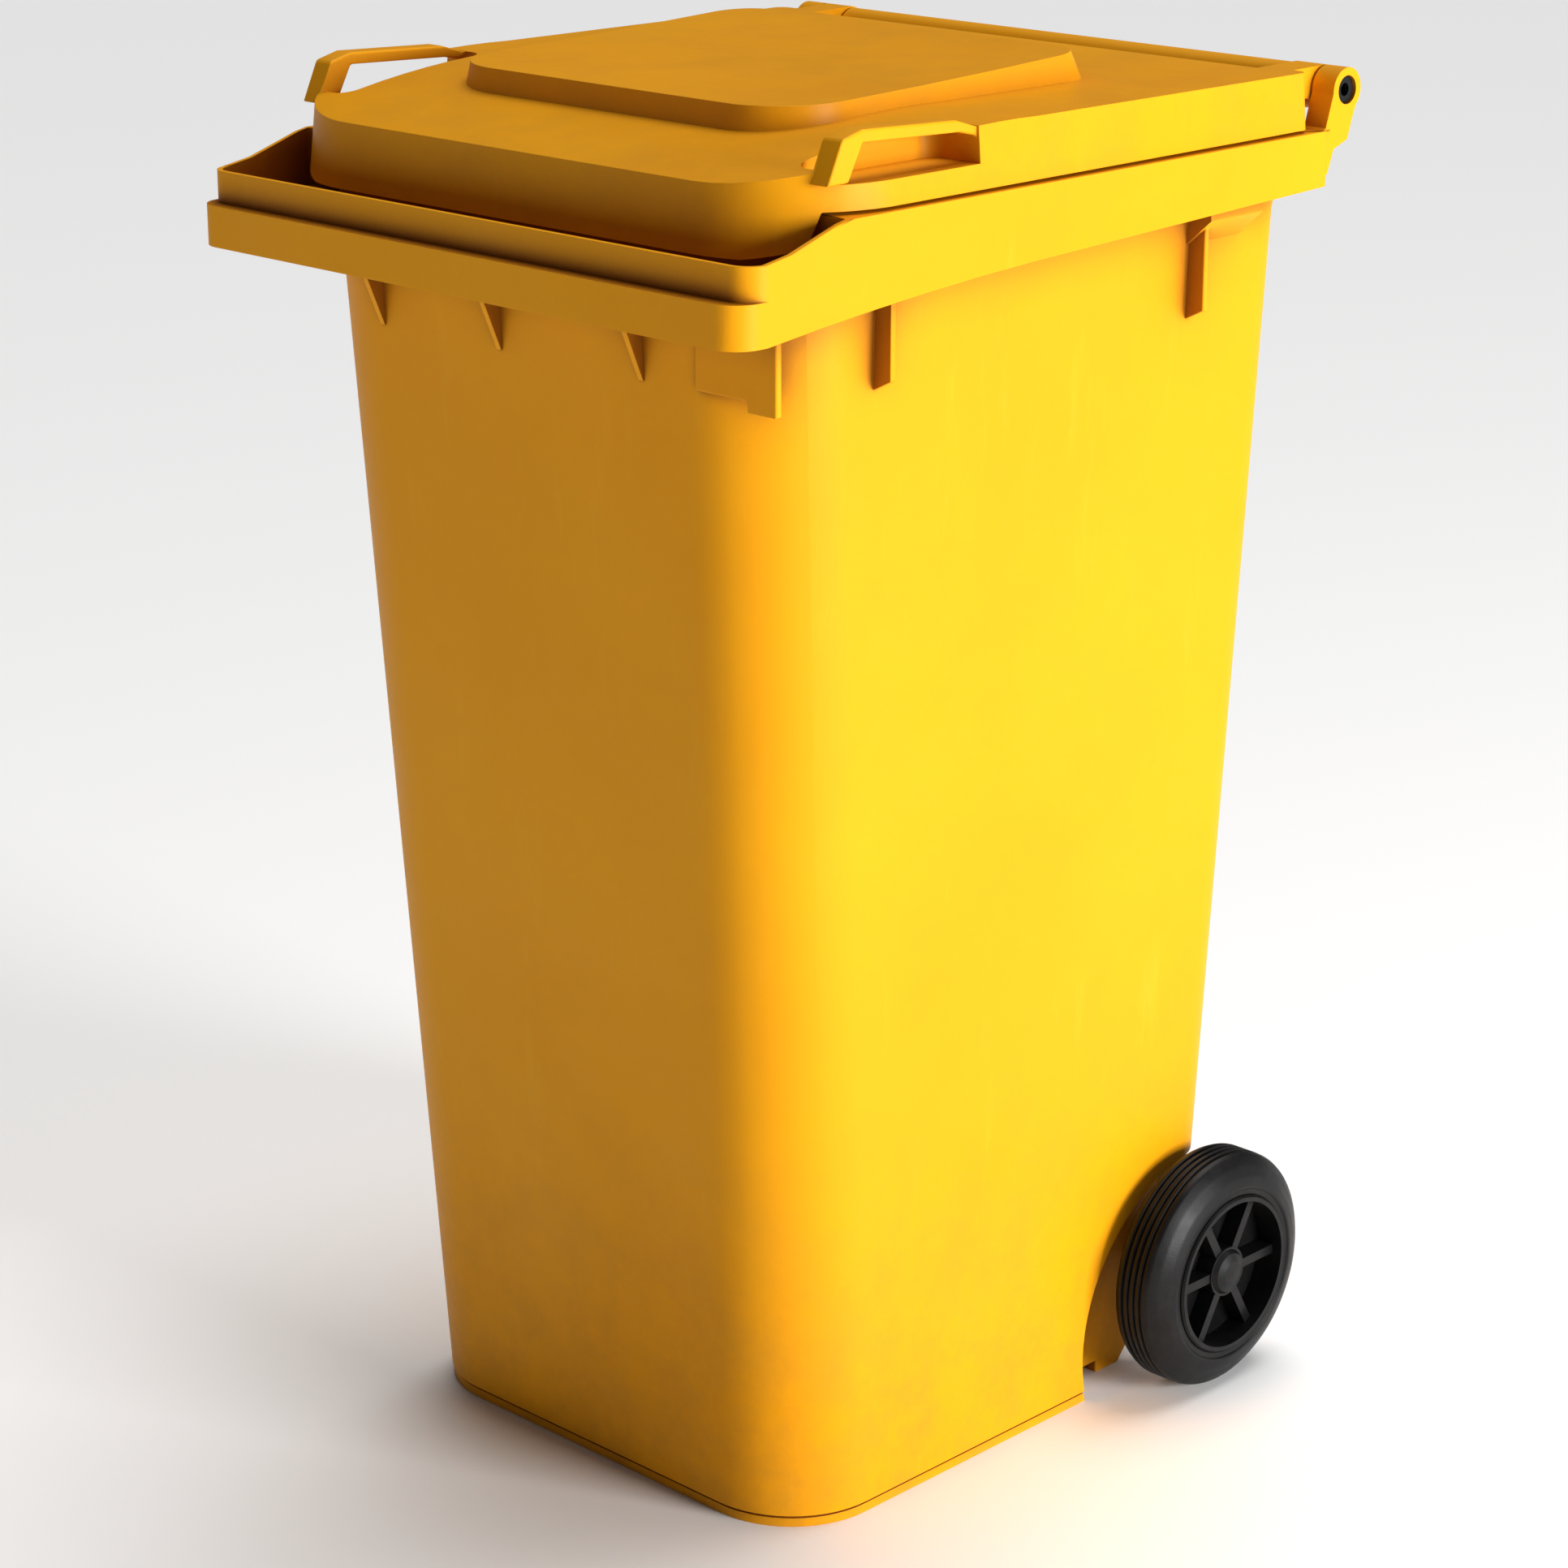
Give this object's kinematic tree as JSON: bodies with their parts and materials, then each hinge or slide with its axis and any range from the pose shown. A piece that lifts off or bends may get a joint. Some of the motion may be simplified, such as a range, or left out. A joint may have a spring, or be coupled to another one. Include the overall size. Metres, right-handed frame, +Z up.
{
  "type": "wheelie bin",
  "caption": "Tall tapered two-wheeled refuse bin with a hinged lid, lifting comb along the front rim, rear handle bar and solid rubber wheels.",
  "frame": {"origin": "centre of the bounding box footprint, on the floor", "axes": "+X right-hand side seen from the front, -Y front with the lifting comb, +Y rear with handle, hinge and wheels, +Z up"},
  "size_m": [0.574, 0.676, 1.0947],
  "materials": {
    "yellow_hdpe": "moulded polyethylene, satin",
    "yellow_lid": "moulded polyethylene, satin",
    "zinc_steel": "zinc plated",
    "black_pin": "moulded polyamide",
    "black_rubber": "solid rubber, matt",
    "black_plastic": "moulded polypropylene",
    "white_nylon": "natural polyamide",
    "washer_steel": "zinc plated",
    "red_pin": "moulded acetal",
    "spring_steel": "bright wire",
    "cap_plastic": "moulded polypropylene"
  },
  "bodies": {
    "bin": {"container": "yellow_hdpe", "axle": "zinc_steel", "hinge_pin_left": "black_pin", "hinge_pin_right": "black_pin", "thrust_washer_left": "washer_steel", "thrust_washer_right": "washer_steel"},
    "lid_body": {"lid": "yellow_lid"},
    "wheel_left": {"wheel_centre_left": "black_plastic", "tyre_left": "black_rubber", "hub_bush_left": "white_nylon", "hub_cap_left": "cap_plastic", "lock_spring_left": "spring_steel"},
    "wheel_right": {"wheel_centre_right": "black_plastic", "tyre_right": "black_rubber", "hub_bush_right": "white_nylon", "hub_cap_right": "cap_plastic", "lock_spring_right": "spring_steel"},
    "lock_left": {"lock_pin_left": "red_pin"},
    "lock_right": {"lock_pin_right": "red_pin"}
  },
  "joints": [
    {"name": "lid_hinge", "type": "hinge", "parent": "bin", "child": "lid_body", "pos_m": [0, 0.321, 1.056], "axis": [-1, 0, 0], "range_deg": [0, 250]},
    {"name": "wheel_left_spin", "type": "hinge", "parent": "bin", "child": "wheel_left", "pos_m": [-0.26, 0.234, 0.1], "axis": [1, 0, 0], "continuous": true},
    {"name": "wheel_right_spin", "type": "hinge", "parent": "bin", "child": "wheel_right", "pos_m": [0.26, 0.234, 0.1], "axis": [1, 0, 0], "continuous": true},
    {"name": "lock_left_slide", "type": "slide", "parent": "wheel_left", "child": "lock_left", "axis": [0, 0, 1], "range_m": [0, 0.003], "stiffness_N_per_m": 300, "springref_m": -0.002, "deforming": ["lock_spring_left"]},
    {"name": "lock_right_slide", "type": "slide", "parent": "wheel_right", "child": "lock_right", "axis": [0, 0, 1], "range_m": [0, 0.003], "stiffness_N_per_m": 300, "springref_m": -0.002, "deforming": ["lock_spring_right"]}
  ]
}
